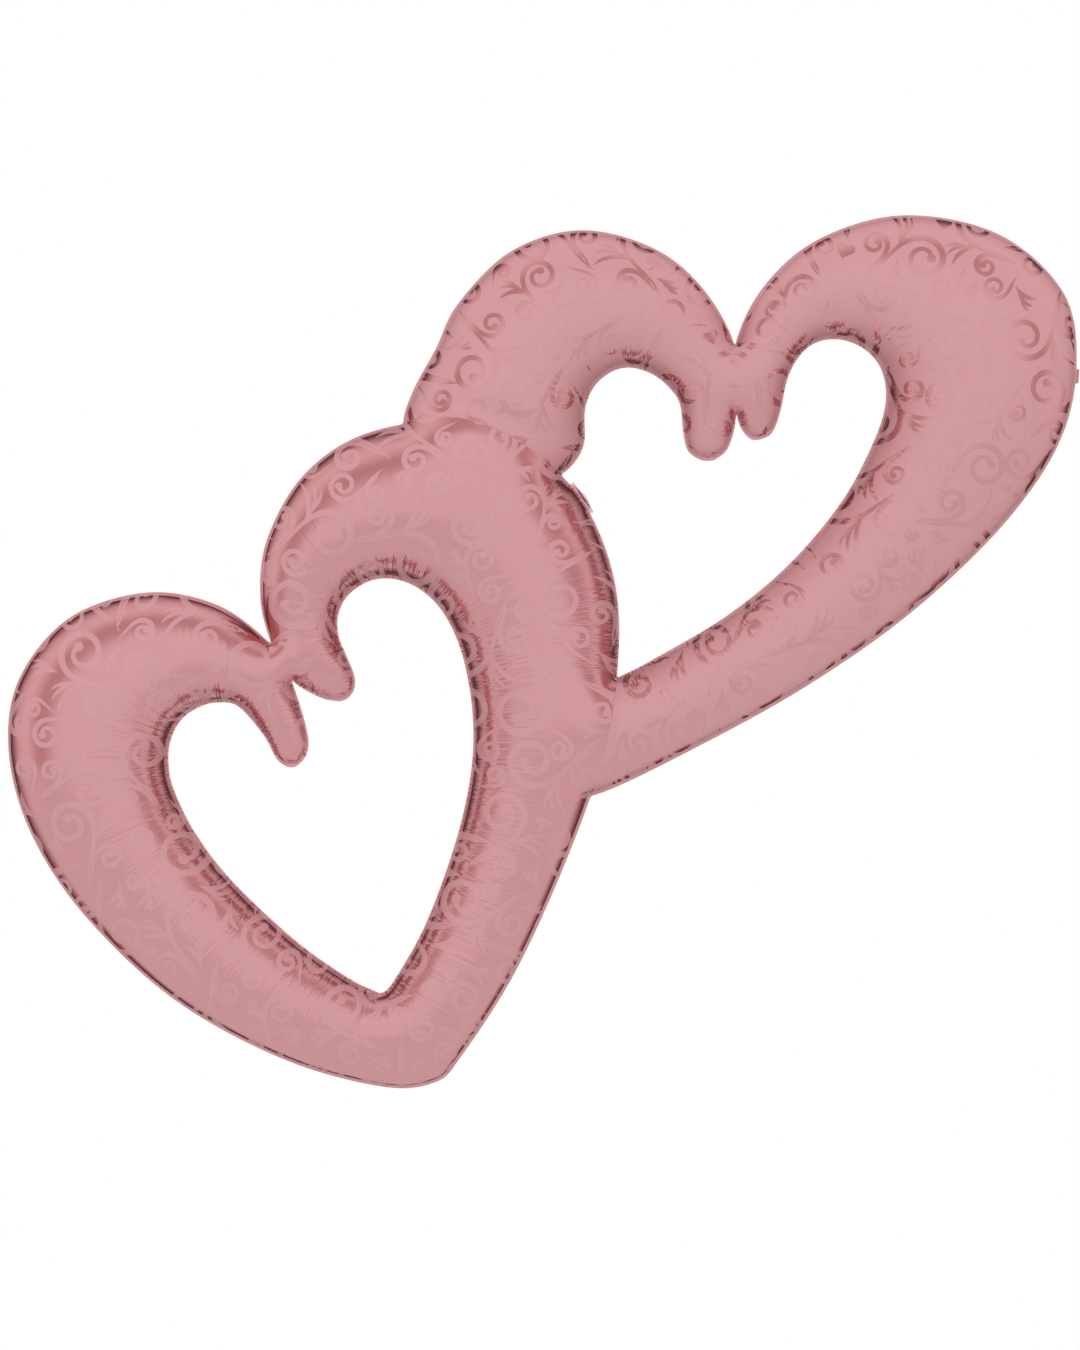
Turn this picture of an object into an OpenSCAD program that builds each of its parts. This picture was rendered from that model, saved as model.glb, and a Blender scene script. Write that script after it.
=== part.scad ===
// Pair of linked open hearts: a two-sheet foil balloon with a self-sealing valve.
// The balloon stands in the XZ plane, the way it hangs, with its front towards -Y.
// Both sheets are cut to one outline and heat sealed all round it, so that one
// bent tube of gas runs through both hearts.

/* [Balloon] */
// Width over both hearts
balloon_w = 1284; // [900:4:1600]
// Height over both hearts
balloon_h = 1048; // [800:4:1300]
// Depth of a filled band as a share of its width
fullness = 0.78; // [0.4:0.02:0.9]

/* [Film] */
// Thickness of one sheet, drawn thicker than real film
film_t = 1; // [0.6:0.1:2]
// Width of the heat seal round every edge
seal_w = 5; // [3:0.5:10]

/* [Filling neck] */
// Width of the neck over its side seals
neck_w = 42; // [34:1:70]
// Length of the neck from its fold to its mouth
neck_l = 70; // [40:1:74]
// Width of each side seal of the neck
neck_seal_w = 5; // [3:0.5:8]

/* [Valve] */
// Room on each side of the flat valve sleeve, between it and the neck's side seals
valve_side_gap = 3; // [1:0.5:8]
// Length of the sleeve inside the balloon, from the fold
valve_reach = 95; // [40:1:110]
// Length of the sleeve inside the neck, from the fold
valve_tail_l = 45; // [20:1:60]
// Thickness of one valve film
valve_t = 0.4; // [0.2:0.1:0.5]

/* [Hang tab] */
// Width of the tab
tab_w = 16; // [12:1:20]
// Length of the tab from its fold to its rounded end
tab_l = 20; // [20:1:34]
// Diameter of the punched hole
tab_hole_d = 5; // [3:0.5:8]

/* [Folds] */
// Gap between the seal and a part that folds on it
fold_gap = 0.3; // [0.2:0.1:1]

/* [Hidden] */

// The outlines are drawn at this size and stretched to balloon_w and balloon_h.
drawn_w = 1284;
drawn_h = 1048;
stretch = [balloon_w / drawn_w, balloon_h / drawn_h];

// Ribs across each band: [outer edge x, z, inner edge x, z], going anticlockwise as
// seen from the front, so that every tube is the same way round.
// Left heart, from the tip of its left curl round the lobe to the bottom point.
left_down = [
    [-298, -139, -307, -139],
    [-285, -125, -320, -129],
    [-283, -98, -336, -100],
    [-303, -33, -366, -66],
    [-326, 8, -390, -61],
    [-391, 56, -412, -66],
    [-477, 71, -434, -81],
    [-570, 40, -447, -105],
    [-630, -34, -450, -134],
    [-642, -120, -443, -167],
    [-616, -216, -417, -219],
    [-552, -315, -372, -277],
    [-444, -417, -296, -348],
    [-315, -488, -235, -391],
    [-195, -522, -205, -406],
    [-130, -517, -192, -409]
];
// Left heart, from the bottom point up the right band to the tip of its right curl.
left_up = [
    [-130, -517, -192, -409],
    [-98, -485, -175, -388],
    [-34, -385, -140, -324],
    [27, -252, -105, -227],
    [70, -130, -87, -145],
    [90, -10, -85, -75],
    [84, 92, -97, -5],
    [45, 184, -119, 45],
    [-20, 243, -147, 74],
    [-105, 277, -178, 87],
    [-213, 262, -208, 85],
    [-287, 213, -234, 68],
    [-331, 137, -246, 45],
    [-340, 67, -246, 20],
    [-326, 8, -238, -1],
    [-303, -33, -227, -28],
    [-268, -55, -227, -45],
    [-243, -60, -234, -56]
];
// Right heart's left lobe, from the tip of its curl to inside the left heart.
right_lobe = [
    [204, 229, 191, 229],
    [222, 245, 174, 240],
    [232, 288, 168, 262],
    [230, 366, 164, 297],
    [190, 438, 151, 317],
    [129, 486, 131, 333],
    [43, 506, 105, 341],
    [-40, 480, 82, 336],
    [-103, 417, 61, 318],
    [-129, 364, 50, 290],
    [-157, 312, 49, 250],
    [-168, 270, 34, 223],
    [-150, 225, 5, 200],
    [-110, 175, -30, 165]
];
// Right heart's other side, from inside the left heart to the tip of its curl.
right_up = [
    [20, -160, 25, -90],
    [62, -172, 72, -42],
    [195, -109, 127, -12],
    [323, -37, 220, 43],
    [444, 49, 296, 106],
    [551, 151, 358, 180],
    [618, 248, 396, 251],
    [640, 340, 411, 300],
    [625, 430, 406, 338],
    [547, 501, 387, 362],
    [433, 524, 360, 374],
    [332, 496, 333, 373],
    [265, 439, 311, 359],
    [230, 366, 294, 330],
    [232, 288, 284, 286],
    [240, 264, 274, 262],
    [250, 254, 259, 254]
];
// Ends of the short passage between the curls of each heart: [upper, lower].
left_notch = [[-326, 8], [-303, -33]];
right_notch = [[230, 366], [232, 288]];
passage_reach = 36;
// How far the sealed sheet rounds out each notch between the curls.
notch_lip = 2;
// How far outside the left heart's edge the sheet changes from one heart to the other.
split_out = 1;

// Ribs drawn for each rib in the tables, and corners of each ring of a tube.
rib_steps = 3;
ring_n = 14;
// Half width of the gas space where a curl runs out.
thinnest = 0.6;
// Larger than the whole balloon.
far = 2000;
// How far a cutting shape runs past the face it cuts.
past = 1;

// Where the neck and the tab leave the outline: [ribs, rib number, share of the way on].
neck_at = [left_up, 7, 0];
tab_at = [right_up, 6, 0.9];
// How far the sealed film is flattened out past the outline for a fold.
land_out = 1.2;
// Share of a rib's spacing on each side of a fold that gives the outline's direction there.
look_aside = 0.05;

neck_half_t = film_t + valve_t;
neck_pocket_w = neck_w - 2 * neck_seal_w;
valve_w = neck_pocket_w - 2 * valve_side_gap;
// Clearance on each side of the sleeve where it passes through the balloon's seal.
valve_seal_gap = 0.05;

// Point t of the way from p1 to p2 on a smooth line through four points.
function smooth(p0, p1, p2, p3, t) =
    0.5 * (2 * p1 + (p2 - p0) * t
        + (2 * p0 - 5 * p1 + 4 * p2 - p3) * t * t
        + (3 * p1 - p0 - 3 * p2 + p3) * t * t * t);

function between(ribs, i, t) =
    let (last = len(ribs) - 1)
    smooth(ribs[max(i - 1, 0)], ribs[i], ribs[min(i + 1, last)], ribs[min(i + 2, last)], t);

function fine(ribs) = [
    for (i = [0:len(ribs) - 2], s = [0:rib_steps - 1]) between(ribs, i, s / rib_steps),
    ribs[len(ribs) - 1]
];

function but_first(v) = [for (i = [1:len(v) - 1]) v[i]];
function sized(p) = [p.x * stretch.x, p.y * stretch.y];
function outer_of(r) = sized([r[0], r[1]]);
function inner_of(r) = sized([r[2], r[3]]);
function unit(v) = v / norm(v);

left_band = concat(fine(left_down), but_first(fine(left_up)));
right_bands = [fine(right_lobe), fine(right_up)];

function band_outline(ribs) = concat(
    [for (r = ribs) outer_of(r)],
    [for (i = [len(ribs) - 1:-1:0]) inner_of(ribs[i])]
);

// One oval ring of a filled band, inside its seals and thinner by inset.
function ring(outer, inner, inset) =
    let (
        centre = (outer + inner) / 2,
        half = (outer - inner) / 2,
        filled = max(norm(half) - seal_w, thinnest + film_t),
        across = unit(half) * (filled - inset),
        deep = filled * fullness - inset
    )
    [for (j = [0:ring_n - 1])
        let (a = 360 * j / ring_n, p = centre + across * cos(a))
        [p.x, deep * sin(a), p.y]];

// Closed tube through a list of rings.
module filled_tube(rings) {
    count = len(rings);
    faces = concat(
        [[for (j = [0:ring_n - 1]) j]],
        [for (i = [0:count - 2], j = [0:ring_n - 1])
            let (k = (j + 1) % ring_n, a = i * ring_n, b = a + ring_n)
            each [[a + j, b + j, b + k], [a + j, b + k, a + k]]],
        [[for (j = [ring_n - 1:-1:0]) (count - 1) * ring_n + j]]
    );
    polyhedron([for (r = rings) each r], faces);
}

// The tube of one band stops short of its tips, where the sheets are sealed together.
module band_tube(ribs, inset) {
    skip = inset > 0 ? 2 : 1;
    filled_tube([
        for (i = [skip:len(ribs) - 1 - skip])
            ring(outer_of(ribs[i]), inner_of(ribs[i]), inset)
    ]);
}

// Passage that joins the two curls of a heart where they touch, as three ribs.
function passage_ribs(notch, reach) =
    let (
        up = unit(sized(notch[0]) - sized(notch[1])),
        upper = sized(notch[0]) + up * notch_lip,
        lower = sized(notch[1]) - up * notch_lip,
        run = [up.y, -up.x] * reach
    )
    [for (s = [1, 0, -1]) [upper + run * s, lower + run * s]];

// Both halves of a passage are bulged out to their convex shape.
module passage_tube(notch, inset) {
    rings = [for (r = passage_ribs(notch, passage_reach - 2 * inset)) ring(r[0], r[1], inset)];
    for (i = [0, 1])
        hull()
            filled_tube([rings[i], rings[i + 1]]);
}

module gas_space(inset) {
    band_tube(left_band, inset);
    for (band = right_bands) band_tube(band, inset);
    passage_tube(left_notch, inset);
    passage_tube(right_notch, inset);
}

// Frame on the outline, for a part that folds there: [point, along, outwards].
function fold_frame(at) =
    let (
        here = outer_of(between(at[0], at[1], at[2])),
        before = outer_of(between(at[0], at[1], at[2] - look_aside)),
        after = outer_of(between(at[0], at[1], at[2] + look_aside)),
        inside = inner_of(between(at[0], at[1], at[2])),
        along = unit(after - before),
        side = [along.y, -along.x],
        out = side * (here - inside) > 0 ? side : -side
    )
    [here, [-out.y, out.x], out];

// Draws its children with X along the fold, Y out past the outline in the sheet
// and Z towards the back, from the fold's own point on the outline.
module on_outline(at) {
    f = fold_frame(at);
    multmatrix([
        [f[1].x, f[2].x, 0, f[0].x],
        [0, 0, 1, 0],
        [f[1].y, f[2].y, 0, f[0].y],
        [0, 0, 0, 1]
    ]) children();
}

module band_plan(ribs) {
    polygon(band_outline(ribs));
}

module passage_plan(notch) {
    ribs = passage_ribs(notch, passage_reach);
    polygon([ribs[0][0], ribs[2][0], ribs[2][1], ribs[0][1]]);
}

module left_plan() {
    band_plan(left_band);
    passage_plan(left_notch);
}

module balloon_plan() {
    left_plan();
    for (band = right_bands) band_plan(band);
    passage_plan(right_notch);
}

// Sets a plan drawn in X and Z upright, t thick, centred on the sealed seam.
module upright(t) {
    rotate([90, 0, 0])
        linear_extrude(t, center = true)
        children();
}

module seal_strip() {
    upright(2 * film_t)
        difference() {
            balloon_plan();
            offset(delta = -(seal_w + 2 * film_t)) balloon_plan();
        }
}

// Flat film that carries the fold straight across the curved outline.
module fold_land(at, w) {
    on_outline(at)
        translate([-w / 2, -seal_w, -film_t])
        cube([w, seal_w + land_out, 2 * film_t]);
}

module envelope() {
    difference() {
        union() {
            gas_space(0);
            seal_strip();
            fold_land(neck_at, neck_w);
            fold_land(tab_at, tab_w);
        }
        gas_space(film_t);
        valve_channel();
    }
}

module half_space(back) {
    translate([-far / 2, back ? 0 : -far, -far / 2])
        cube([far, far, far]);
}

// Everything that is printed as the left heart, with its neck's land.
module left_region() {
    upright(far)
        offset(delta = split_out)
        left_plan();
    on_outline(neck_at)
        translate([-neck_w / 2 - split_out, -seal_w, -far / 2])
        cube([neck_w + 2 * split_out, seal_w + land_out + split_out, far]);
}

module sheet(back) {
    intersection() {
        envelope();
        half_space(back);
    }
}

module left_film(back) {
    intersection() {
        sheet(back);
        left_region();
    }
}

module right_film(back) {
    difference() {
        sheet(back);
        left_region();
    }
}

// Distance from the outline out to a fold's axis.
function axis_out(half_t) = land_out + fold_gap + half_t;

module valve_channel() {
    on_outline(neck_at)
        translate([-valve_w / 2, -valve_reach, -valve_t])
        cube([valve_w, valve_reach + land_out, 2 * valve_t]);
}

// One film of the sleeve, from the fold in to its open end inside the balloon.
module valve_film(back) {
    w = valve_w - 2 * valve_seal_gap;
    on_outline(neck_at)
        translate([-w / 2, -valve_reach, back ? 0 : -valve_t])
        cube([w, valve_reach + land_out, valve_t]);
}

// Folded parts are drawn lying back, with Z along the part and Y through it.
module at_fold(at, half_t) {
    on_outline(at)
        translate([0, axis_out(half_t), 0])
        children();
}

module side_of(back) {
    translate([-far / 2, back ? -far : 0, -far / 2])
        cube([far, far, far]);
}

// Flat pouch with a round root on the fold's axis and a pocket for the sleeve.
module neck_film(back) {
    at_fold(neck_at, neck_half_t)
        intersection() {
            difference() {
                union() {
                    translate([-neck_w / 2, -neck_half_t, 0])
                        cube([neck_w, 2 * neck_half_t, neck_l]);
                    rotate([0, 90, 0])
                        cylinder(h = neck_w, r = neck_half_t, center = true, $fn = 48);
                }
                translate([-neck_pocket_w / 2, -valve_t, 0])
                    cube([neck_pocket_w, 2 * valve_t, neck_l + past]);
            }
            side_of(back);
        }
}

module valve_tail(back) {
    at_fold(neck_at, neck_half_t)
        translate([-valve_w / 2, back ? -valve_t : 0, 0])
        cube([valve_w, valve_t, valve_tail_l]);
}

module hang_tab() {
    end_r = tab_w / 2;
    at_fold(tab_at, film_t)
        difference() {
            union() {
                translate([-tab_w / 2, -film_t, 0])
                    cube([tab_w, 2 * film_t, tab_l - end_r]);
                translate([0, 0, tab_l - end_r])
                    rotate([90, 0, 0])
                    cylinder(h = 2 * film_t, r = end_r, center = true, $fn = 64);
                rotate([0, 90, 0])
                    cylinder(h = tab_w, r = film_t, center = true, $fn = 48);
            }
            translate([0, 0, tab_l - end_r])
                rotate([90, 0, 0])
                cylinder(h = 2 * (film_t + past), d = tab_hole_d, center = true, $fn = 64);
        }
}

color("#c98e90") left_film(false);  // left_heart_front_film
color("#c98e90") left_film(true);  // left_heart_back_film
color("#d49ea0") right_film(false);  // right_heart_front_film
color("#d49ea0") right_film(true);  // right_heart_back_film
color("#f0eeee") valve_film(false);  // valve_front_film
color("#f0eeee") valve_film(true);  // valve_back_film
color("#c98e90") neck_film(false);  // neck_front_film
color("#c98e90") neck_film(true);  // neck_back_film
color("#f0eeee") valve_tail(false);  // valve_front_tail
color("#f0eeee") valve_tail(true);  // valve_back_tail
color("#d49ea0") hang_tab();
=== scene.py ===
import math

import bpy
import numpy as np
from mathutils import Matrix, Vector, kdtree
from mathutils.geometry import delaunay_2d_cdt


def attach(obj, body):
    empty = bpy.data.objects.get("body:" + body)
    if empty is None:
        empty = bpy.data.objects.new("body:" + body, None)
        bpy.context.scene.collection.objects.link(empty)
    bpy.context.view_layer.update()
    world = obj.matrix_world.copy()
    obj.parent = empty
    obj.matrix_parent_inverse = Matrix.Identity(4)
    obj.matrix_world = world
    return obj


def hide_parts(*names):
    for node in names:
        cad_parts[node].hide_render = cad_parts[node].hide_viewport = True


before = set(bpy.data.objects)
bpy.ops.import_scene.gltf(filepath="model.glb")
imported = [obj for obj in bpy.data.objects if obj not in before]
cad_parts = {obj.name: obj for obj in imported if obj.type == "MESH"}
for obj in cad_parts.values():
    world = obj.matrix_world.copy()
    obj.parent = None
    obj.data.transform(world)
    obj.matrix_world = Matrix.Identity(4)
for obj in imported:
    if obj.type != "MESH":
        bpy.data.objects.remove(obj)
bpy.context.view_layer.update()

mm = 0.001

# The two sheets. Rows of points follow the seam at set distances, and a grid fills the rest.
balloon = {
    "sealWidth": 5 * mm,
    "fullness": 0.78,
    "gridStep": 2.2 * mm,
    "seamStep": 2.0 * mm,
    "rows": [2.5 * mm, 5 * mm, 5.5 * mm, 6.5 * mm, 8 * mm, 10 * mm, 12.5 * mm],
    "passageReach": 36 * mm,
    "notchLip": 2 * mm,
    "sheetGap": 0.15 * mm,
    "valleyDepth": 0.1,
    "valleyPlace": -10 * mm,
    "valleyWidth": 20 * mm,
}

# Ribs across each band in millimetres, anticlockwise from the front: outer edge x, z, inner edge x, z.
leftRibs = [
    (-298, -139, -307, -139), (-285, -125, -320, -129), (-283, -98, -336, -100),
    (-303, -33, -366, -66), (-326, 8, -390, -61), (-391, 56, -412, -66),
    (-477, 71, -434, -81), (-570, 40, -447, -105), (-630, -34, -450, -134),
    (-642, -120, -443, -167), (-616, -216, -417, -219), (-552, -315, -372, -277),
    (-444, -417, -296, -348), (-315, -488, -235, -391), (-195, -522, -205, -406),
    (-130, -517, -192, -409), (-98, -485, -175, -388), (-34, -385, -140, -324),
    (27, -252, -105, -227), (70, -130, -87, -145), (90, -10, -85, -75),
    (84, 92, -97, -5), (45, 184, -119, 45), (-20, 243, -147, 74),
    (-105, 277, -178, 87), (-213, 262, -208, 85), (-287, 213, -234, 68),
    (-331, 137, -246, 45), (-340, 67, -246, 20), (-326, 8, -238, -1),
    (-303, -33, -227, -28), (-268, -55, -227, -45), (-243, -60, -234, -56),
]
rightLobeRibs = [
    (204, 229, 191, 229), (222, 245, 174, 240), (232, 288, 168, 262),
    (230, 366, 164, 297), (190, 438, 151, 317), (129, 486, 131, 333),
    (43, 506, 105, 341), (-40, 480, 82, 336), (-103, 417, 61, 318),
    (-129, 364, 50, 290), (-157, 312, 49, 250), (-168, 270, 34, 223),
    (-150, 225, 5, 200), (-110, 175, -30, 165),
]
rightRibs = [
    (20, -160, 25, -90), (62, -172, 72, -42), (195, -109, 127, -12),
    (323, -37, 220, 43), (444, 49, 296, 106), (551, 151, 358, 180),
    (618, 248, 396, 251), (640, 340, 411, 300), (625, 430, 406, 338),
    (547, 501, 387, 362), (433, 524, 360, 374), (332, 496, 333, 373),
    (265, 439, 311, 359), (230, 366, 294, 330), (232, 288, 284, 286),
    (240, 264, 274, 262), (250, 254, 259, 254),
]
# Ends of the passage between the curls of each heart: upper x, z, lower x, z.
leftNotch = (-326, 8, -303, -33)
rightNotch = (230, 366, 232, 288)


def smoothRibs(ribs, steps):
    # A smooth curve through each end of the ribs, with this many steps from one rib to the next.
    points = np.array(ribs, float) * mm
    padded = np.vstack([points[:1], points, points[-1:]])
    t = np.linspace(0, 1, steps, endpoint=False)[:, None]
    out = []
    for i in range(len(points) - 1):
        a, b, c, d = padded[i:i + 4]
        out.append((2 * b + (c - a) * t + (2 * a - 5 * b + 4 * c - d) * t**2
                    + (3 * b - a - 3 * c + d) * t**3) / 2)
    return np.vstack(out + [points[-1:]])


def bandOutline(ribs):
    # Out along the outer edge of the band and back along the inner one.
    fine = smoothRibs(ribs, 12)
    return np.vstack([fine[:, :2], fine[::-1, 2:]])


def passageOutline(notch):
    # A strip that joins the two sides of a heart between the curls.
    upper, lower = np.array(notch[:2]) * mm, np.array(notch[2:]) * mm
    up = (upper - lower) / np.linalg.norm(upper - lower)
    run = np.array([up[1], -up[0]]) * balloon["passageReach"]
    upper, lower = upper + up * balloon["notchLip"], lower - up * balloon["notchLip"]
    return np.array([upper + run, upper - run, lower - run, lower + run])


# Flat lands of sealed film that reach out past the outline to each fold, in millimetres:
# a point on the outline, the way out from it, and the land's width.
neckLand = {"at": (45, 184), "out": (0.824, 0.567), "width": 42}
tabLand = {"at": (639.5, 330.9), "out": (0.9974, -0.0716), "width": 16}
landDepth = (-5, 1.45)
# Where the seal at the neck rises over the valve's sleeve, in millimetres.
sleeve = {"width": 26, "fade": 2, "reach": 14, "rise": 0.35}


def landOutline(land):
    at, out = np.array(land["at"]) * mm, np.array(land["out"])
    along = np.array([-out[1], out[0]]) * land["width"] / 2 * mm
    inside, outside = (at + out * depth * mm for depth in landDepth)
    return np.array([inside - along, outside - along, outside + along, inside + along])


def overSleeve(points):
    # 1 where the seal passes over the valve's sleeve at the neck, and 0 elsewhere.
    out = np.array(neckLand["out"])
    gap = points - np.array(neckLand["at"]) * mm
    past = np.abs(gap @ np.array([-out[1], out[0]])) - sleeve["width"] / 2 * mm
    near = np.abs(gap @ out) < sleeve["reach"] * mm
    return np.clip(1.5 - past / (sleeve["fade"] * mm), 0, 1) * near


def triangulate(points, edges, faces):
    # Points and triangles, and for each triangle whether it lies in one of the faces.
    coords = [Vector(p) for p in points]
    result = delaunay_2d_cdt(coords, edges, faces, 0, 1e-7, True)
    within = np.array([len(owners) > 0 for owners in result[5]])
    return np.array([v[:] for v in result[0]]), np.array(result[2], int), within


def joinedOutlines(outlines):
    # Triangles over all the outlines together.
    faces, start = [], 0
    for outline in outlines:
        face = list(range(start, start + len(outline)))
        x, z = outline.T
        turned = (x * np.roll(z, -1) - np.roll(x, -1) * z).sum() < 0
        faces.append(face[::-1] if turned else face)
        start += len(outline)
    points, triangles, within = triangulate(np.vstack(outlines), [], faces)
    return points, triangles[within]


def rimLoops(triangles):
    # Closed chains of the edges that only one triangle uses.
    edges = np.vstack([triangles[:, [0, 1]], triangles[:, [1, 2]], triangles[:, [2, 0]]])
    used = {(a, b) for a, b in edges.tolist()}
    following = {a: b for a, b in used if (b, a) not in used}
    loops = []
    while following:
        start = next(iter(following))
        chain = [start]
        step = following.pop(start)
        while step != start:
            chain.append(step)
            step = following.pop(step)
        loops.append(chain)
    return loops


def evenly(loop, step):
    # The closed loop again, with its points about one step apart.
    closed = np.vstack([loop, loop[:1]])
    along = np.concatenate([[0], np.cumsum(np.linalg.norm(np.diff(closed, axis=0), axis=1))])
    count = int(along[-1] / step)
    at = np.linspace(0, along[-1], count, endpoint=False)
    return np.column_stack([np.interp(at, along, closed[:, k]) for k in (0, 1)])


def softened(loop, rounds):
    # Each round takes every point a little towards its neighbours.
    for _ in range(rounds):
        loop = (np.roll(loop, 1, 0) + 2 * loop + np.roll(loop, -1, 0)) / 4
    return loop


def pointTree(points):
    tree = kdtree.KDTree(len(points))
    for i, p in enumerate(points.tolist()):
        tree.insert((p[0], p[1], 0), i)
    tree.balance()
    return tree


def nearest(tree, points):
    # Index of the tree's point that is nearest to each of these, and its distance.
    found = [tree.find((x, z, 0)) for x, z in points.tolist()]
    return np.array([f[1] for f in found]), np.array([f[2] for f in found])


def gridInside(points, triangles, step):
    # Staggered grid points that lie in the triangles.
    rows = step * math.sqrt(3) / 2
    out = []
    for tri in triangles:
        a, b, c = points[tri]
        low, high = np.min([a, b, c], 0), np.max([a, b, c], 0)
        zs = np.arange(math.ceil(low[1] / rows), math.floor(high[1] / rows) + 1)
        xs = np.arange(math.floor(low[0] / step) - 1, math.ceil(high[0] / step) + 2)
        if len(zs) == 0:
            continue
        gx, gz = np.meshgrid(xs, zs)
        px, pz = ((gx + (gz % 2) / 2) * step).ravel(), (gz * rows).ravel()
        area = (b[0] - a[0]) * (c[1] - a[1]) - (b[1] - a[1]) * (c[0] - a[0])
        u = ((px - a[0]) * (c[1] - a[1]) - (pz - a[1]) * (c[0] - a[0])) / area
        v = ((b[0] - a[0]) * (pz - a[1]) - (b[1] - a[1]) * (px - a[0])) / area
        keep = (u >= 0) & (v >= 0) & (u + v < 1)
        out.append(np.column_stack([px[keep], pz[keep]]))
    return np.vstack(out)


def thinned(points, size):
    # One point from each cell of this size.
    keys = np.round(points / size).astype(int)
    _, first = np.unique(keys, axis=0, return_index=True)
    return points[np.sort(first)]


def insideLoops(points, loops):
    # Even-odd test of each point against all loops.
    odd = np.zeros(len(points), bool)
    for loop in loops:
        a, b = loop, np.roll(loop, -1, 0)
        for (x0, z0), (x1, z1) in zip(a.tolist(), b.tolist()):
            if z0 == z1:
                continue
            crossing = (points[:, 1] > min(z0, z1)) & (points[:, 1] <= max(z0, z1))
            at = x0 + (points[:, 1] - z0) * (x1 - x0) / (z1 - z0)
            odd ^= crossing & (at > points[:, 0])
    return odd


class Sheet:
    # The flat cut sheet: its points, triangles, seam loops and distances from the seam.

    def __init__(self, outlines):
        coarse, coarseTriangles = joinedOutlines(outlines)
        loops = [evenly(coarse[chain], balloon["seamStep"]) for chain in rimLoops(coarseTriangles)]
        self.loops = [softened(loop, 3) for loop in loops]
        tree = pointTree(np.vstack([evenly(loop, balloon["seamStep"] / 4) for loop in self.loops]))
        rows = thinned(self.seamRows(tree), balloon["seamStep"] * 0.4)
        grid = gridInside(coarse, coarseTriangles, balloon["gridStep"])
        _, away = nearest(tree, grid)
        grid = grid[away > balloon["rows"][-1] + balloon["gridStep"] * 0.6]
        self.fill(np.vstack([rows, grid]))
        _, self.fromSeam = nearest(tree, self.points)

    def seamRows(self, tree):
        # Rows of points along the seam, left out where another stretch of seam is nearer.
        rows = []
        for loop in self.loops:
            along = np.roll(loop, -1, 0) - np.roll(loop, 1, 0)
            along /= np.linalg.norm(along, axis=1)[:, None]
            inward = np.column_stack([-along[:, 1], along[:, 0]])
            for d in balloon["rows"]:
                row = loop + inward * d
                _, away = nearest(tree, row)
                rows.append(row[away > 0.94 * d])
        return np.vstack(rows)

    def fill(self, inner):
        # Triangles over the rim and the inner points, without those that bridge a bay of the rim.
        rim = np.vstack(self.loops)
        edges, start = [], 0
        for loop in self.loops:
            n = len(loop)
            edges += [(start + i, start + (i + 1) % n) for i in range(n)]
            start += n
        points, triangles, _ = triangulate(np.vstack([rim, inner]), edges, [])
        onRim = np.zeros(len(points), bool)
        onRim[:len(rim)] = True
        doubtful = onRim[triangles].all(1)
        centres = points[triangles[doubtful]].mean(1)
        keep = np.ones(len(triangles), bool)
        keep[doubtful] = insideLoops(centres, self.loops)
        self.points, self.triangles = points, triangles[keep]


def solvePoisson(points, triangles, fixed):
    # Height of a soap film over the sheet: its Laplacian is -1, and it is 0 where fixed.
    a, b, c = (points[triangles[:, k]] for k in range(3))
    pairs, weights = [], []
    for i, j, p, q, r in ((0, 1, a, b, c), (1, 2, b, c, a), (2, 0, c, a, b)):
        u, v = p - r, q - r
        cross = np.abs(u[:, 0] * v[:, 1] - u[:, 1] * v[:, 0])
        weights.append((u * v).sum(1) / np.maximum(cross, 1e-12) / 2)
        pairs.append(triangles[:, [i, j]])
    pairs, weights = np.vstack(pairs), np.maximum(np.concatenate(weights), 0)
    i, j = pairs.T
    n = len(points)
    u, v = b - a, c - a
    area = np.abs(u[:, 0] * v[:, 1] - u[:, 1] * v[:, 0]) / 2
    load = np.bincount(triangles.ravel(), np.repeat(area / 3, 3), n)
    diagonal = np.bincount(i, weights, n) + np.bincount(j, weights, n)
    free = ~fixed
    diagonal = np.where(diagonal > 0, diagonal, 1)

    def apply(x):
        y = diagonal * x - np.bincount(i, weights * x[j], n) - np.bincount(j, weights * x[i], n)
        return y * free

    x = np.zeros(n)
    residual = load * free
    direction = residual / diagonal
    product = residual @ direction
    goal = product * 1e-10
    for step in range(3000):
        ad = apply(direction)
        alpha = product / (direction @ ad)
        x += alpha * direction
        residual -= alpha * ad
        scaled = residual / diagonal
        fresh = residual @ scaled
        if fresh < goal:
            break
        direction = scaled + direction * (fresh / product)
        product = fresh
    print("poisson steps", step)
    return x


def depthInside(points, loops):
    # Distance from the loops, positive inside them.
    dense = np.vstack([evenly(loop, 1.5 * mm) for loop in loops])
    _, away = nearest(pointTree(dense), points)
    return np.where(insideLoops(points, loops), away, -away)


def loopNoise(along, length, wave, seed):
    # Smooth noise along a closed seam, from -1 to 1.
    count = max(int(length / wave), 4)
    values = np.random.default_rng(seed).uniform(-1, 1, count)
    at = (along / length * count) % count
    low = at.astype(int) % count
    t = at - np.floor(at)
    t = t * t * (3 - 2 * t)
    return values[low] * (1 - t) + values[(low + 1) % count] * t


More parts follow.
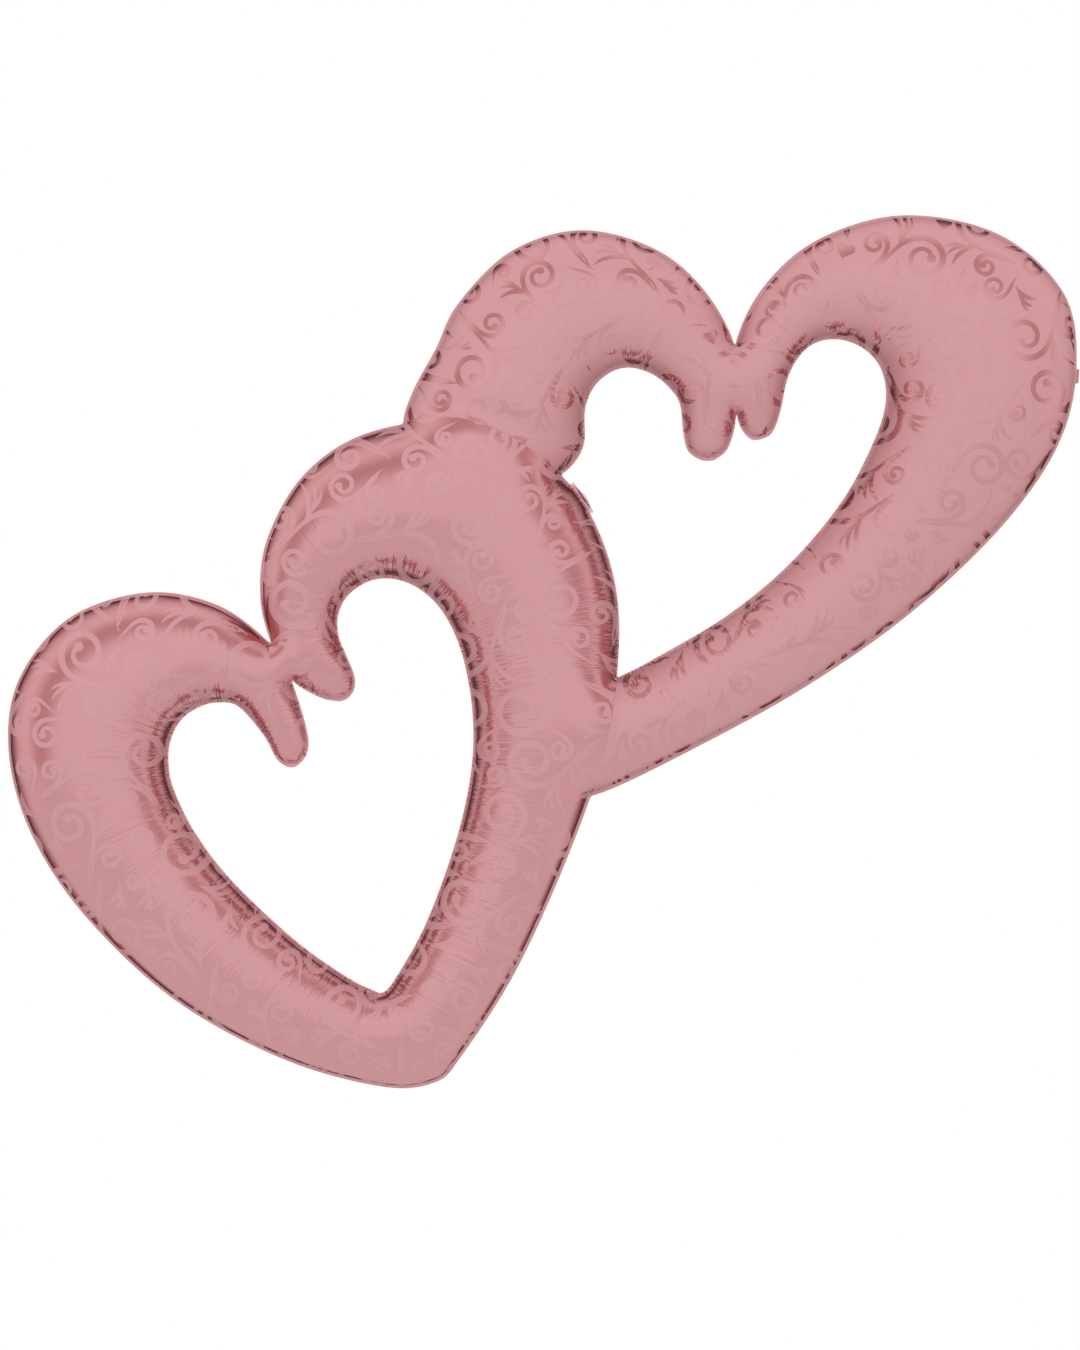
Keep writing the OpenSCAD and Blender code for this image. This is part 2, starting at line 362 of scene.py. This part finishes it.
class Seam:
    # Where each point of the sheet lies along one set of seam loops, and how far off.

    def __init__(self, loops, sheet, step=0.6 * mm):
        dense = [evenly(loop, step) for loop in loops]
        self.length = sum(len(d) for d in dense) * step
        everything = np.vstack(dense)
        index, self.away = nearest(pointTree(everything), sheet.points)
        self.along = index * step
        self.point = everything[index]
        self.settled = self.offTheDivide(sheet, 14 * mm)

    def offTheDivide(self, sheet, reach):
        # Midway between two stretches of seam the nearest one changes: 0 there, rising to 1 further off.
        pairs = sheet.triangles[:, [0, 1, 1, 2, 2, 0]].reshape(-1, 2)
        jump = np.linalg.norm(self.point[pairs[:, 0]] - self.point[pairs[:, 1]], axis=1)
        size = np.linalg.norm(sheet.points[pairs[:, 0]] - sheet.points[pairs[:, 1]], axis=1)
        torn = np.unique(pairs[jump > 2.5 * size + 1.2 * mm])
        _, clear = nearest(pointTree(sheet.points[torn]), sheet.points)
        return np.clip(clear / reach - 0.15, 0, 1) ** 1.5

    def noise(self, wave, seed):
        return loopNoise(self.along, self.length, wave, seed)

    def puckers(self, wave, depth, reach, seed):
        # Sharp creases that run in from the seam and die out.
        fine = self.noise(wave, seed)
        strength = 0.6 + 0.4 * self.noise(wave * 7, seed + 1)
        far = np.maximum(self.away - balloon["sealWidth"], 0) / reach
        fade = 0.6 * np.exp(-far) + 0.4 * np.exp(-far / 3)
        return depth * (np.abs(fine) ** 0.7 * 2 - 1) * strength * fade * self.settled


def normalsOf(points, triangles):
    # Normals at the points, each face weighing as much as its area.
    a, b, c = (points[triangles[:, k]] for k in range(3))
    face = np.cross(b - a, c - a)
    out = np.zeros_like(points)
    for k in range(3):
        for axis in range(3):
            out[:, axis] += np.bincount(triangles[:, k], face[:, axis], len(points))
    return out / np.maximum(np.linalg.norm(out, axis=1), 1e-12)[:, None]


# The print's scrolls: how far the spiral tightens, how the stem straightens, and the ink's widths.
scrolls = {"tightens": 0.66, "straightens": 0.85, "startWidth": 0.2, "endTaper": 0.35, "bulb": 0.66,
           "stemPoints": 20}


# Each stroke is a list of points in millimetres and the half-widths along it.
def headed(angles, length):
    # A path of equal steps, each with its own heading.
    steps = np.column_stack([np.cos(angles), np.sin(angles)]) * length / (len(angles) - 1)
    return np.vstack([[0, 0], np.cumsum(steps[:-1], axis=0)])


def scroll(base, heading, radius, hand, tail, turns=1.2, width=6.5):
    # A stem that grows from its base, bends over and winds up into a round bulb.
    t = np.linspace(0, 1, 36)
    angle = hand * turns * 2 * math.pi * t
    shrinking = radius * (1 - scrolls["tightens"] * t)
    spiral = np.column_stack([shrinking * np.cos(angle), shrinking * np.sin(angle)])
    s = np.linspace(0, 1, scrolls["stemPoints"])
    turned = -hand * math.pi / 2 - hand * tail / radius * (s - scrolls["straightens"] * s**2)
    stem = headed(turned, tail) + spiral[0]
    path = np.vstack([stem[:0:-1], spiral])
    start = scrolls["startWidth"]
    grown = np.concatenate([start + (1 - start) * s[:-1], 1 - scrolls["endTaper"] * t])
    rise = heading - (turned[-1] + math.pi)
    turn = np.array([[math.cos(rise), math.sin(rise)], [-math.sin(rise), math.cos(rise)]])
    path = (path - stem[-1]) @ turn + base
    bulb = np.array([path[-1], path[-1] + [0.5, 0]])
    return [(path, width / 2 * grown), (bulb, np.full(2, width * scrolls["bulb"]))]


def frond(base, angle, length, bend, width):
    # A bent leaf that is pointed at both ends.
    t = np.linspace(0, 1, 14)
    path = headed(angle + bend * t, length) + base
    return [(path, width / 2 * np.sin(math.pi * (0.04 + 0.94 * t)) ** 0.8)]


def fan(base, angle, hand, length):
    # Nested fronds that open out of one point.
    strokes = []
    for k in range(3):
        start = base + 7 * k * np.array([math.cos(angle), math.sin(angle)])
        size, width = length * (1 - 0.18 * k), 5.5 - 0.8 * k
        strokes += frond(start, angle + hand * 0.3 * k, size, -hand * 1.3, width)
    return strokes


def smallHeart(base, size, angle):
    # Two short fat strokes that meet in a point.
    t = np.linspace(0, 1, 8)[:, None]
    turn = np.array([[math.cos(angle), -math.sin(angle)], [math.sin(angle), math.cos(angle)]])
    out = []
    for side in (-1, 1):
        lobe = np.array([side * 0.25, 0.2]) * size
        tip = np.array([0, -0.46]) * size
        path = lobe + (tip - lobe) * t
        out.append((path @ turn.T + base, size * (0.27 * (1 - t[:, 0]) + 0.01)))
    return out


def sprig(base, heading, hand, radius):
    # A scroll with a smaller one and a fan that branch off its stem.
    width = 3.9 + 0.16 * radius
    strokes = scroll(base, heading, radius, hand, radius * 3.8, 1.2, width)
    stem = strokes[0][0]

    def along(share):
        # Point on the stem at this share of its length, and the stem's heading there.
        k = int(share * (scrolls["stemPoints"] - 1))
        step = stem[k + 1] - stem[k]
        return stem[k], math.atan2(step[1], step[0])

    point, way = along(0.1)
    smaller = radius * 0.58
    strokes += scroll(point, way - hand * 0.7, smaller, -hand, radius * 1.9, 1.1, width * 0.85)
    point, way = along(0.62)
    strokes += fan(point, way - hand * 0.5, hand, radius * 2.0)
    return strokes


def lone(base, heading, hand, radius):
    return scroll(base, heading, radius, hand, radius * 3, 1.15, 3.6 + 0.19 * radius)


def tuft(base, heading, hand, radius):
    return fan(base, heading, hand, radius * 2.6)


def heartAt(base, heading, hand, radius):
    return smallHeart(base, 2.2 * radius, 0.4 * math.sin(heading))


class Canvas:
    # Which cells of a flat grid already hold a stroke, in millimetres.
    cell = 3
    reach = 750

    def __init__(self):
        count = 2 * self.reach // self.cell
        self.taken = np.zeros((count, count), bool)

    def cells(self, strokes):
        points = np.vstack([path for path, half in strokes])
        at = ((points + self.reach) / self.cell).astype(int)
        return np.clip(at, 2, len(self.taken) - 3)

    def overlap(self, strokes):
        at = self.cells(strokes)
        return self.taken[at[:, 0], at[:, 1]].mean()

    def add(self, strokes):
        at = self.cells(strokes)
        for i in (-2, -1, 0, 1, 2):
            for j in (-2, -1, 0, 1, 2):
                if abs(i) + abs(j) < 4:
                    self.taken[at[:, 0] + i, at[:, 1] + j] = True


# What is printed, from large to small: shape, radius, places tried and overlap allowed.
printed = [
    (sprig, 26, 500, 0.06),
    (sprig, 19, 900, 0.07),
    (lone, 15, 900, 0.07),
    (tuft, 15, 500, 0.05),
    (heartAt, 9, 60, 0.0),
    (lone, 10.5, 1200, 0.1),
    (tuft, 10, 500, 0.08),
]


def scrollPrint(points, seed):
    # Tries the shapes at random points, each in four headings, and keeps those that find room.
    random = np.random.default_rng(seed)
    canvas = Canvas()
    strokes = []
    for shape, radius, places, allowed in printed:
        for base in points[random.integers(0, len(points), places)]:
            first = random.uniform(0, 2 * math.pi)
            for k in range(4):
                hand, size = 1 if k % 2 else -1, radius * random.uniform(0.85, 1.15)
                made = shape(base, first + k * 1.6, hand, size)
                if canvas.overlap(made) <= allowed:
                    canvas.add(made)
                    strokes += made
                    break
    return strokes


def printField(points, strokes):
    # How deep each point, in millimetres, lies in a stroke: positive inside.
    reach = 16
    depth = np.full(len(points), -12.0)
    order = np.argsort(points[:, 0])
    xs = points[order, 0]
    for path, half in strokes:
        low, high = path.min(0) - reach, path.max(0) + reach
        part = order[np.searchsorted(xs, low[0]):np.searchsorted(xs, high[0])]
        part = part[(points[part, 1] > low[1]) & (points[part, 1] < high[1])]
        if len(part) == 0:
            continue
        a, b = path[:-1], path[1:]
        run = b - a
        size = np.maximum((run ** 2).sum(1), 1e-9)
        rel = points[part][:, None, :] - a[None]
        t = np.clip((rel * run[None]).sum(2) / size[None], 0, 1)
        gap = np.hypot(rel[..., 0] - t * run[None, :, 0], rel[..., 1] - t * run[None, :, 1])
        wide = half[:-1][None] * (1 - t) + half[1:][None] * t
        depth[part] = np.maximum(depth[part], (wide - gap).max(1))
    return depth


outlines = [bandOutline(ribs) for ribs in (leftRibs, rightLobeRibs, rightRibs)]
outlines += [passageOutline(leftNotch), passageOutline(rightNotch)]
outlines += [landOutline(neckLand), landOutline(tabLand)]
sheet = Sheet(outlines)
print("sheet", len(sheet.points), "points", flush=True)
film = solvePoisson(sheet.points, sheet.triangles, sheet.fromSeam < balloon["sealWidth"] * 0.999)
height = balloon["fullness"] * np.sqrt(2 * np.maximum(film, 0))

leftPoints, leftTriangles = joinedOutlines([outlines[0], outlines[3], outlines[5]])
leftLoops = [evenly(leftPoints[chain], 4 * mm) for chain in rimLoops(leftTriangles)]
leftness = depthInside(sheet.points, leftLoops)

bySize = sorted(sheet.loops, key=len)
outerSeam = Seam(bySize[2:], sheet)
innerSeam = Seam(bySize[:2], sheet)
print("seams", flush=True)

# A shallow valley just outside the left heart, where the right one runs into it.
valley = np.exp(-((leftness - balloon["valleyPlace"]) / balloon["valleyWidth"]) ** 2)
height = height * (1 - balloon["valleyDepth"] * valley)
onLeft = leftness > 0
printDepth = np.zeros(len(onLeft))
for part, seed in ((onLeft, 21), (~onLeft, 47)):
    places = sheet.points[part] / mm
    strokes = scrollPrint(places, seed)
    printDepth[part] = printField(places, strokes)
    print("print", len(strokes), "strokes", flush=True)


# Puckers that run in from each seam: spacing, depth and how far they reach.
puckers = {
    "inner": [(7 * mm, 0.34 * mm, 20 * mm), (17 * mm, 0.5 * mm, 28 * mm), (55 * mm, 0.9 * mm, 45 * mm)],
    "outer": [(9 * mm, 0.14 * mm, 14 * mm), (34 * mm, 0.5 * mm, 36 * mm)],
    "settles": 4 * mm,
}
# The seam itself waves a little out of its plane.
seamWave = {"height": 0.5 * mm, "reach": 7 * mm, "outer": 30 * mm, "inner": 22 * mm}


def filmPoints(side, seed):
    # Points of one film, on side -1 for the front and 1 for the back.
    flat = np.column_stack([sheet.points[:, 0], side * height, sheet.points[:, 1]])
    order = sheet.triangles if side < 0 else sheet.triangles[:, ::-1]
    normals = normalsOf(flat, order)
    grown = np.clip((sheet.fromSeam - balloon["sealWidth"]) / puckers["settles"], 0, 1)
    lift = np.zeros(len(flat))
    for seam, creases in ((innerSeam, puckers["inner"]), (outerSeam, puckers["outer"])):
        for k, (spacing, depth, reach) in enumerate(creases):
            lift += seam.puckers(spacing, depth, reach, seed + 10 * k)
    points = flat + normals * (lift * grown)[:, None]
    wave = outerSeam.noise(seamWave["outer"], 5) * np.exp(-outerSeam.away / seamWave["reach"])
    wave += innerSeam.noise(seamWave["inner"], 6) * np.exp(-innerSeam.away / seamWave["reach"])
    over = overSleeve(sheet.points)
    points[:, 1] += seamWave["height"] * wave * (1 - over)
    points[:, 1] += side * (balloon["sheetGap"] + sleeve["rise"] * mm * over)
    return points, order


def addAttribute(mesh, name, values):
    kind = "FLOAT" if values.ndim == 1 else "FLOAT_VECTOR"
    field = "value" if values.ndim == 1 else "vector"
    attribute = mesh.attributes.new(name, kind, "POINT")
    attribute.data.foreach_set(field, values.astype(np.float32).ravel())


def addMesh(name, points, triangles):
    mesh = bpy.data.meshes.new(name)
    mesh.vertices.add(len(points))
    mesh.vertices.foreach_set("co", np.asarray(points, np.float32).ravel())
    mesh.loops.add(len(triangles) * 3)
    mesh.loops.foreach_set("vertex_index", np.asarray(triangles, np.int32).ravel())
    mesh.polygons.add(len(triangles))
    mesh.polygons.foreach_set("loop_start", np.arange(0, len(triangles) * 3, 3, dtype=np.int32))
    mesh.polygons.foreach_set("use_smooth", np.ones(len(triangles), bool))
    mesh.update(calc_edges=True)
    piece = bpy.data.objects.new(name, mesh)
    bpy.context.scene.collection.objects.link(piece)
    return piece


class Wire:
    # An output socket with arithmetic.

    def __init__(self, graph, socket):
        self.graph, self.socket = graph, socket

    def math(self, operation, *others):
        return self.graph.add("ShaderNodeMath", {"operation": operation}, self, *others)

    def combine(self, operation, other, swapped=False):
        pair = [other, self] if swapped else [self, other]
        wires = [v for v in pair if isinstance(v, Wire)]
        if any(v.socket.type in ("VECTOR", "RGBA") for v in wires) or isinstance(other, tuple):
            pair = [(v, v, v) if isinstance(v, (int, float)) else v for v in pair]
            return self.graph.add("ShaderNodeVectorMath", {"operation": operation}, *pair)
        return self.graph.add("ShaderNodeMath", {"operation": operation}, *pair)

    def __add__(self, other):
        return self.combine("ADD", other)

    def __radd__(self, other):
        return self.combine("ADD", other, True)

    def __sub__(self, other):
        return self.combine("SUBTRACT", other)

    def __rsub__(self, other):
        return self.combine("SUBTRACT", other, True)

    def __mul__(self, other):
        return self.combine("MULTIPLY", other)

    def __rmul__(self, other):
        return self.combine("MULTIPLY", other, True)



class Graph:
    # The nodes of one material or of the world.

    def __init__(self, owner):
        owner.use_nodes = True
        self.owner, self.tree = owner, owner.node_tree

    def node(self, kind, settings, *inputs, **named):
        made = self.tree.nodes.new(kind)
        for key, value in settings.items():
            setattr(made, key, value)
        for place, value in list(enumerate(inputs)) + list(named.items()):
            self.put(made.inputs[place], value)
        return made

    def add(self, kind, settings, *inputs, **named):
        return Wire(self, self.node(kind, settings, *inputs, **named).outputs[0])

    def put(self, socket, value):
        if isinstance(value, Wire):
            self.tree.links.new(value.socket, socket)
        else:
            socket.default_value = value

    def output(self, made, name):
        return Wire(self, made.outputs[name])

    def attribute(self, name, output="Fac"):
        return self.output(self.node("ShaderNodeAttribute", {"attribute_name": name}), output)

    def mix(self, factor, first, second):
        made = self.node("ShaderNodeMix", {"data_type": "RGBA"})
        for place, value in ((0, factor), (6, first), (7, second)):
            self.put(made.inputs[place], value)
        return Wire(self, made.outputs[2])

    def noise(self, vector, scale, detail=2.0):
        return self.add("ShaderNodeTexNoise", {}, Vector=vector, Scale=scale, Detail=detail)

    def smooth(self, value, low, high):
        kind = {"interpolation_type": "SMOOTHSTEP"}
        return self.add("ShaderNodeMapRange", kind, value, low, high, 0.0, 1.0)

    def ramp(self, value, tones):
        made = self.node("ShaderNodeValToRGB", {}, value)
        stops = made.color_ramp.elements
        stops[0].position, stops[0].color = tones[0]
        stops[1].position, stops[1].color = tones[-1]
        for position, color in tones[1:-1]:
            stops.new(position).color = color
        return Wire(self, made.outputs[0])

    def finish(self, **values):
        shader = self.tree.nodes["Principled BSDF"]
        for name, value in values.items():
            self.put(shader.inputs[name.replace("_", " ")], value)
        return self.owner


# The film's two looks: bare metal, and metal under a pale satin ink.
metal = {"color": (0.66, 0.33, 0.345, 1), "metallic": 1.0, "roughness": 0.2}
satin = {"color": (0.69, 0.37, 0.385, 1), "metallic": 0.35, "roughness": 0.46}
# Fine streaks square to the inner seam. Scale and fade are per millimetre, and the depths in metres.
streaks = {"scale": 0.3, "fade": -0.026, "metalDepth": 0.0052, "satinDepth": 0.0012}


def makeFilmMaterial(name):
    g = Graph(bpy.data.materials.new(name))
    stroke = g.smooth(g.attribute("printDepth"), -0.5, 0.5)
    left = g.smooth(g.attribute("leftness"), -0.8, 0.8)
    inked = left * stroke + (1 - left) * (1 - stroke)  # the right heart's strokes are bare metal
    streak = g.noise(g.attribute("seamPoint", "Vector"), streaks["scale"], 1.0)
    fade = (g.attribute("fromInner") * streaks["fade"]).math("EXPONENT") * g.attribute("settled")
    depth = inked * (streaks["satinDepth"] - streaks["metalDepth"]) + streaks["metalDepth"]
    bump = g.add("ShaderNodeBump", {}, Distance=depth, Height=streak * fade)
    return g.finish(Base_Color=g.mix(inked, metal["color"], satin["color"]),
                    Metallic=inked * (satin["metallic"] - metal["metallic"]) + metal["metallic"],
                    Roughness=inked * (satin["roughness"] - metal["roughness"]) + metal["roughness"],
                    Normal=bump)


def plainMaterial(name, color, metallic, roughness, alpha=1.0, scale=220.0):
    g = Graph(bpy.data.materials.new(name))
    where = g.output(g.node("ShaderNodeTexCoord", {}), "Object")
    cloud = g.noise(where, scale)
    return g.finish(Base_Color=color, Metallic=metallic, Alpha=alpha,
                    Roughness=cloud * 0.15 + (roughness - 0.07))


def addFilm(name, onLeft, points, order, node):
    # One film's share of one heart, with what its material reads.
    mask = (leftness[sheet.triangles].mean(1) > 0) == onLeft
    used = np.unique(order[mask])
    renumber = np.zeros(len(points), int)
    renumber[used] = np.arange(len(used))
    piece = addMesh(name, points[used], renumber[order[mask]])
    seamPoint = np.insert(innerSeam.point[used] / mm, 1, 0, axis=1)
    for attribute, values in (("printDepth", printDepth[used]), ("leftness", leftness[used] / mm),
                              ("seamPoint", seamPoint), ("fromInner", innerSeam.away[used] / mm),
                              ("settled", innerSeam.settled[used])):
        addAttribute(piece.data, attribute, values)
    piece.data.materials.append(filmMaterial)
    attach(piece, "balloon")
    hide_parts(node)


filmMaterial = makeFilmMaterial("printedFilm")
for side, word in ((-1, "Front"), (1, "Back")):
    points, order = filmPoints(side, 105 + side)
    addFilm("leftFilm" + word, True, points, order, f"left_heart_{word.lower()}_film")
    addFilm("rightFilm" + word, False, points, order, f"right_heart_{word.lower()}_film")
print("films", flush=True)

# The neck lies back from its fold as a flat pouch. Its films part a little towards the mouth.
neck = {
    "fold": (47.389 * mm, 0, 185.645 * mm),
    "along": (0.567, 0, -0.824),
    "out": (0.824, 0, 0.567),
    "width": 42 * mm,
    "length": 70 * mm,
    "seal": 5 * mm,
    "rootGap": 0.9 * mm,
    "mouthGap": 3.2 * mm,
    "sway": 2.5 * mm,
    "thickness": 0.4 * mm,
    "apart": 0.45 * mm,
    "rootRound": 0.02,
    "rootPast": 1 * mm,
    "crinkle": 0.35 * mm,
    "cutWave": 0.5 * mm,
    "columns": 61,
    "rows": 81,
}


def neckFaces(side):
    # Places on the outer and the inner face of one film, from the root to the mouth.
    u, v = np.meshgrid(np.linspace(-1, 1, neck["columns"]), np.linspace(0, 1, neck["rows"]))
    half = neck["width"] / 2
    pocket = np.clip((half - np.abs(u) * half - neck["seal"]) / (half - neck["seal"]), 0, 1)
    gap = (neck["mouthGap"] * v**1.5 + neck["rootGap"] * (1 - v)) * np.sqrt(pocket)
    rounding = np.sqrt(np.minimum(v / neck["rootRound"], 1))
    crinkle = neck["crinkle"] * np.sin(23 * u + 5 * v + side) * np.sin(3.4 * v + 1.2 * u) * pocket
    sway = neck["sway"] * v**2 * np.cos(1.3 * u)
    out = sway + (side * (neck["apart"] + gap) + crinkle) * rounding
    cut = neck["cutWave"] * np.sin(9 * u) * v**8
    back = v * neck["length"] + cut - neck["rootPast"] * (1 - v)
    fold, along, outwards = (np.array(neck[k]) for k in ("fold", "along", "out"))
    faces = []
    for inset in (0, neck["thickness"]):
        inward = out - side * inset * rounding
        place = fold + (u * half)[..., None] * along + inward[..., None] * outwards
        place[..., 1] += back
        faces.append(place.reshape(-1, 3))
    return faces


def shellTriangles(columns, rows):
    # Triangles over two grids of points, one behind the other, and over the edge between them.
    corner = (np.arange(rows - 1)[:, None] * columns + np.arange(columns - 1)).ravel()
    face = np.vstack([np.column_stack([corner, corner + 1, corner + columns + 1]),
                      np.column_stack([corner, corner + columns + 1, corner + columns])])
    low, high = np.arange(columns), np.arange(columns) + (rows - 1) * columns
    left, right = np.arange(rows) * columns, np.arange(rows) * columns + columns - 1
    rim = np.concatenate([low[:-1], right[:-1], high[:0:-1], left[:0:-1]])
    count, following = rows * columns, np.roll(rim, -1)
    walls = np.vstack([np.column_stack([following, rim, rim + count]),
                       np.column_stack([following, rim + count, following + count])])
    return np.vstack([face, face[:, ::-1] + count, walls])


def neckFilm(name, side, node):
    triangles = shellTriangles(neck["columns"], neck["rows"])
    points = np.vstack(neckFaces(side))
    piece = addMesh(name, points, triangles if side < 0 else triangles[:, ::-1])
    piece.data.materials.append(neckMaterial)
    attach(piece, "neck")
    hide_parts(node)


neckMaterial = plainMaterial("neckFilm", metal["color"], 0.9, 0.25, scale=90.0)
neckFilm("neckFilmFront", 1, "neck_front_film")
neckFilm("neckFilmBack", -1, "neck_back_film")

valveMaterial = plainMaterial("valveFilm", (0.85, 0.83, 0.83, 1), 0.0, 0.35, 0.6)
tabMaterial = plainMaterial("tabFilm", satin["color"], satin["metallic"], satin["roughness"])
for name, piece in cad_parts.items():
    piece.data.materials.clear()
    piece.data.materials.append(valveMaterial if "valve" in name else tabMaterial)
print("neck, valve and tab", flush=True)

camera = {"place": (-0.004, -4.79, -0.028), "turn": (math.pi / 2, 0, 0), "lens": 133, "sensor": 36}
lamps = {
    "keyLeft": {"place": (-2.4, -2.8, 1.6), "size": (2.4, 3.0), "energy": 16},
    "fillRight": {"place": (2.6, -2.4, 0.6), "size": (2.0, 3.0), "energy": 10},
    "top": {"place": (0, -0.6, 2.8), "size": (3.0, 1.6), "energy": 3},
}
# The studio's tone from straight behind the balloon, 0, round to straight in front of it, 1.
studioTones = [
    (0.0, (0.12, 0.05, 0.05, 1)),
    (0.08, (0.06, 0.02, 0.02, 1)),
    (0.15, (0.17, 0.065, 0.07, 1)),
    (0.34, (0.88, 0.74, 0.75, 1)),
    (0.5, (1, 0.95, 0.95, 1)),
    (0.62, (0.92, 0.82, 0.83, 1)),
    (0.72, (0.66, 0.48, 0.5, 1)),
    (0.8, (0.72, 0.56, 0.57, 1)),
    (0.88, (1, 1, 1, 1)),
]
backdropEdge = (0.87, 0.94)  # cosines from straight behind between which the white backdrop ends
floor = {"level": -1.8, "reach": 9, "farEdge": 1.1, "color": (0.84, 0.88, 0.88, 1), "whiteness": 0.65}


def link(name, data, place, turn):
    made = bpy.data.objects.new(name, data)
    made.location, made.rotation_euler = place, turn
    bpy.context.scene.collection.objects.link(made)
    return made


def addCamera():
    data = bpy.data.cameras.new("camera")
    data.lens, data.sensor_width, data.clip_end = camera["lens"], camera["sensor"], 50
    data.sensor_fit = "HORIZONTAL"
    bpy.context.scene.camera = link("camera", data, camera["place"], camera["turn"])


def addLamp(name, lamp):
    data = bpy.data.lights.new(name, "AREA")
    data.shape = "RECTANGLE"
    data.size, data.size_y = lamp["size"]
    data.energy = lamp["energy"]
    aim = (-Vector(lamp["place"])).to_track_quat("-Z", "Y").to_euler()
    link(name, data, lamp["place"], aim).visible_glossy = False


def makeWorld():
    # The balloon hangs in front of a white backdrop, with the dark studio round it and light in front.
    world = bpy.data.worlds.new("studio")
    bpy.context.scene.world = world
    g = Graph(world)
    where = g.output(g.node("ShaderNodeTexCoord", {}), "Generated")
    behind = g.output(g.node("ShaderNodeSeparateXYZ", {}, where), "Y")
    studio = g.ramp(behind * -0.5 + 0.5, studioTones)
    rays = g.node("ShaderNodeLightPath", {})
    backdrop = g.smooth(behind, *backdropEdge)
    seen = g.output(rays, "Is Camera Ray") + g.output(rays, "Is Transmission Ray")
    seen = seen + g.output(rays, "Is Glossy Ray") * backdrop
    g.put(g.tree.nodes["Background"].inputs[0], g.mix(seen, studio, (1, 1, 1, 1)))


def makeFloor():
    # The floor fades towards the white of the backdrop, and still takes the balloon's shadow.
    g = Graph(bpy.data.materials.new("floor"))
    where = g.output(g.node("ShaderNodeTexCoord", {}), "Object")
    shader = g.finish(Base_Color=floor["color"], Roughness=g.noise(where, 6.0) * 0.1 + 0.65)
    rays = g.node("ShaderNodeLightPath", {})
    seen = g.output(rays, "Is Camera Ray") + g.output(rays, "Is Glossy Ray")
    seen = (seen + g.output(rays, "Is Transmission Ray")) * floor["whiteness"]
    glow = g.add("ShaderNodeEmission", {}, (1, 1, 1, 1), 1.0)
    lit = g.output(g.tree.nodes["Principled BSDF"], "BSDF")
    mixed = g.add("ShaderNodeMixShader", {}, seen, lit, glow)
    g.put(g.tree.nodes["Material Output"].inputs["Surface"], mixed)
    level, reach, far = floor["level"], floor["reach"], floor["farEdge"]
    corners = [(-reach, -reach, level), (reach, -reach, level), (reach, far, level), (-reach, far, level)]
    ground = addMesh("floor", corners, [(0, 1, 2), (0, 2, 3)])
    ground.data.materials.append(shader)


addCamera()
makeWorld()
makeFloor()
for name, lamp in lamps.items():
    addLamp(name, lamp)
bpy.context.scene.view_settings.view_transform = "Standard"
